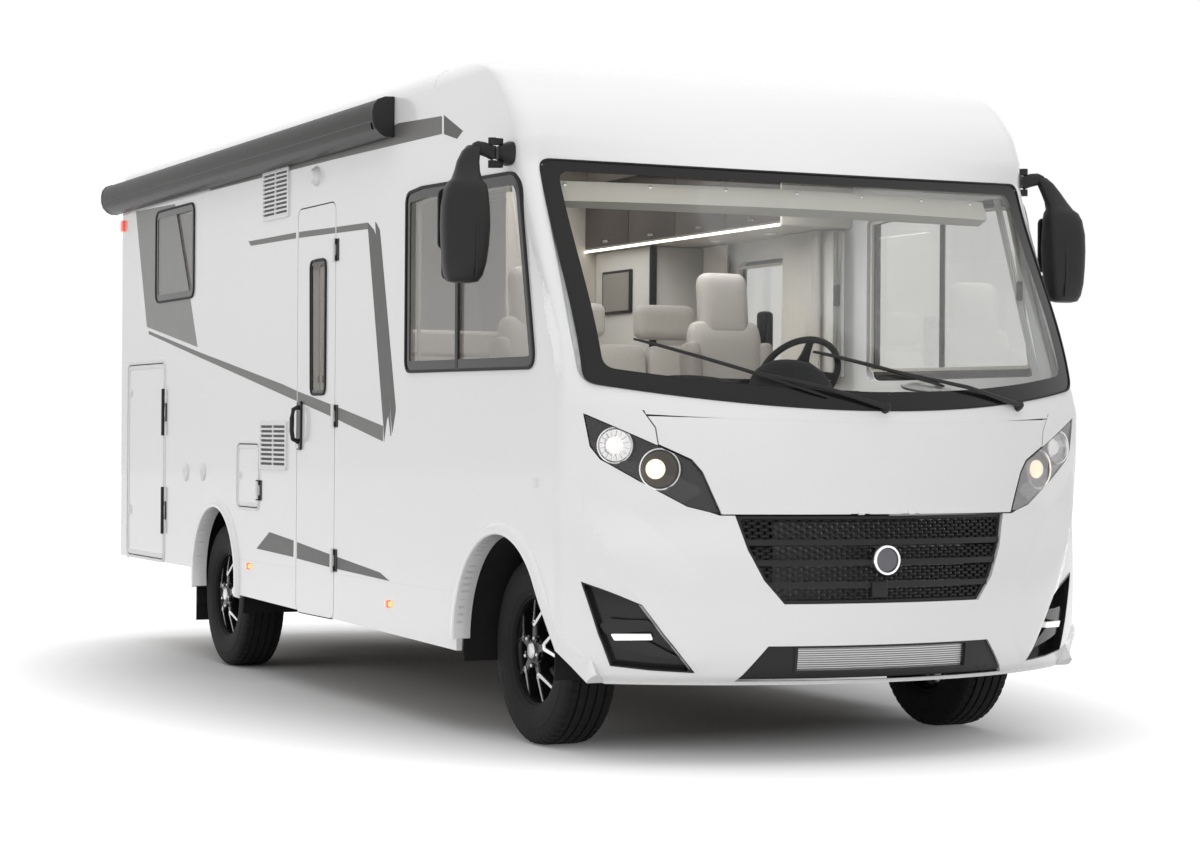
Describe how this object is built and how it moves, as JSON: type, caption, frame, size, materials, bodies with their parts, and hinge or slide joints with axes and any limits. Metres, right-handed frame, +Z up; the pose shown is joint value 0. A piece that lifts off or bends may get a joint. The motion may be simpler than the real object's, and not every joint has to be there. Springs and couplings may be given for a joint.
{
  "type": "motorhome",
  "caption": "Integrated motorhome: white coachbuilt body with a large raked windscreen, front grille and lamps, side windows, awning, entry and garage doors on a front-wheel-drive chassis.",
  "frame": {"origin": "on the ground at the middle of the bounding box in plan", "axes": "+Y towards the rear, -Y forwards, +X towards the left (driver's) side, +Z up"},
  "size_m": [2.946, 6.8396, 2.7999],
  "materials": {
    "body_white": "gloss white lacquer",
    "glass_clear": "clear safety glass",
    "acrylic": "tinted double acrylic glazing",
    "black_plastic": "moulded black plastic",
    "white_plastic": "moulded white plastic",
    "lamp_glass": "clear lamp lens",
    "red_lens": "red lamp lens",
    "core_silver": "finned core",
    "awning_dark": "anthracite powder-coated extrusion",
    "hinge_black": "black hinges",
    "tyre_black": "tyre rubber",
    "rim_alloy": "black alloy with turned edges",
    "chassis_black": "black chassis paint",
    "cast": "cast iron",
    "interior_wood": "dark wood veneer board",
    "floor_board": "sandwich floor board",
    "upholstery": "beige upholstery",
    "mattress_cloth": "mattress cover",
    "rubber_black": "rubber"
  },
  "bodies": {
    "motorhome": {"front_cap": "body_white", "windscreen": "glass_clear", "front_lamps": "black_plastic", "headlamp_lenses": "lamp_glass", "front_grilles": "black_plastic", "charge_cooler": "core_silver", "side_walls": "body_white", "skirts": "body_white", "arch_flares": "white_plastic", "window_frames": "black_plastic", "window_panes": "acrylic", "hinge_leaves": "hinge_black", "roof": "body_white", "roof_hatch_frames": "white_plastic", "wall_rear": "body_white", "rear_bumper": "white_plastic", "outer_lamps": "red_lens", "awning": "awning_dark", "side_vents": "white_plastic", "mirror_brackets": "black_plastic", "wipers": "black_plastic", "axles": "chassis_black", "chassis_frame": "chassis_black", "engine_block": "cast", "wheel_liners": "rubber_black", "floor": "floor_board", "entry_step": "floor_board", "firewall": "floor_board", "bulkhead": "floor_board", "garage_floor": "floor_board", "dashboard": "black_plastic", "seats": "upholstery", "furniture": "interior_wood", "rear_bed": "mattress_cloth"},
    "wheel_front_right": {"tyre_front_right": "tyre_black", "rim_front_right": "rim_alloy"},
    "wheel_front_left": {"tyre_front_left": "tyre_black", "rim_front_left": "rim_alloy"},
    "wheel_rear_right": {"tyre_rear_right": "tyre_black", "rim_rear_right": "rim_alloy"},
    "wheel_rear_left": {"tyre_rear_left": "tyre_black", "rim_rear_left": "rim_alloy"},
    "steer_right": {"knuckle_right": "cast"},
    "steer_left": {"knuckle_left": "cast"},
    "steering": {"steering_wheel": "black_plastic"},
    "door": {"entry_door": "body_white", "entry_door_window": "acrylic"},
    "garage_right": {"garage_door_right": "body_white"},
    "garage_left": {"garage_door_left": "body_white"},
    "hatch": {"service_hatch": "body_white"},
    "front_lid": {"bonnet": "body_white"},
    "skylight_front": {"roof_hatch_front": "white_plastic"},
    "skylight_rear": {"roof_hatch_rear": "white_plastic"},
    "mirror_arm_right": {"mirror_right": "black_plastic"},
    "mirror_arm_left": {"mirror_left": "black_plastic"}
  },
  "joints": [
    {"name": "entry_door_swing", "type": "hinge", "parent": "motorhome", "child": "door", "pos_m": [-1.17, -0.47, 1.3], "axis": [0, 0, 1], "range_deg": [0, 90]},
    {"name": "garage_door_right_swing", "type": "hinge", "parent": "motorhome", "child": "garage_right", "pos_m": [-1.17, 2.357, 1.05], "axis": [0, 0, 1], "range_deg": [0, 90]},
    {"name": "garage_door_left_swing", "type": "hinge", "parent": "motorhome", "child": "garage_left", "pos_m": [1.17, 2.357, 1.05], "axis": [0, 0, -1], "range_deg": [0, 90]},
    {"name": "service_hatch_swing", "type": "hinge", "parent": "motorhome", "child": "hatch", "pos_m": [-1.17, 0.647, 0.935], "axis": [0, 0, 1], "range_deg": [0, 90]},
    {"name": "bonnet_tilt", "type": "hinge", "parent": "motorhome", "child": "front_lid", "pos_m": [0, -3.386, 0.936], "axis": [1, 0, 0], "range_deg": [0, 70]},
    {"name": "roof_hatch_front_lift", "type": "hinge", "parent": "motorhome", "child": "skylight_front", "pos_m": [0, -0.713, 2.778], "axis": [1, 0, 0], "range_deg": [0, 50]},
    {"name": "roof_hatch_rear_lift", "type": "hinge", "parent": "motorhome", "child": "skylight_rear", "pos_m": [0, 1.887, 2.778], "axis": [1, 0, 0], "range_deg": [0, 50]},
    {"name": "mirror_right_fold", "type": "hinge", "parent": "motorhome", "child": "mirror_arm_right", "pos_m": [-1.232, -2.476, 2.32], "axis": [0, 0, -1], "range_deg": [0, 60]},
    {"name": "mirror_left_fold", "type": "hinge", "parent": "motorhome", "child": "mirror_arm_left", "pos_m": [1.232, -2.476, 2.32], "axis": [0, 0, 1], "range_deg": [0, 60]},
    {"name": "steer_right_turn", "type": "hinge", "parent": "motorhome", "child": "steer_right", "pos_m": [-0.84, -2.38, 0.372], "axis": [0, 0, 1], "range_deg": [-35, 35]},
    {"name": "steer_left_turn", "type": "hinge", "parent": "motorhome", "child": "steer_left", "pos_m": [0.84, -2.38, 0.372], "axis": [0, 0, 1], "range_deg": [-35, 35]},
    {"name": "steering_wheel_turn", "type": "hinge", "parent": "motorhome", "child": "steering", "pos_m": [0.48, -1.865, 1.486], "axis": [0, 0.8192, 0.5736], "range_deg": [-525, 525]},
    {"name": "wheel_front_right_spin", "type": "hinge", "parent": "steer_right", "child": "wheel_front_right", "pos_m": [-0.905, -2.38, 0.372], "axis": [1, 0, 0], "continuous": true},
    {"name": "wheel_front_left_spin", "type": "hinge", "parent": "steer_left", "child": "wheel_front_left", "pos_m": [0.905, -2.38, 0.372], "axis": [1, 0, 0], "continuous": true},
    {"name": "wheel_rear_right_spin", "type": "hinge", "parent": "motorhome", "child": "wheel_rear_right", "pos_m": [-0.985, 1.42, 0.372], "axis": [1, 0, 0], "continuous": true},
    {"name": "wheel_rear_left_spin", "type": "hinge", "parent": "motorhome", "child": "wheel_rear_left", "pos_m": [0.985, 1.42, 0.372], "axis": [1, 0, 0], "continuous": true}
  ],
  "couplings": [
    {"joint": "steer_left_turn", "follows": "steer_right_turn", "ratio": 1},
    {"joint": "steering_wheel_turn", "follows": "steer_right_turn", "ratio": 15}
  ]
}
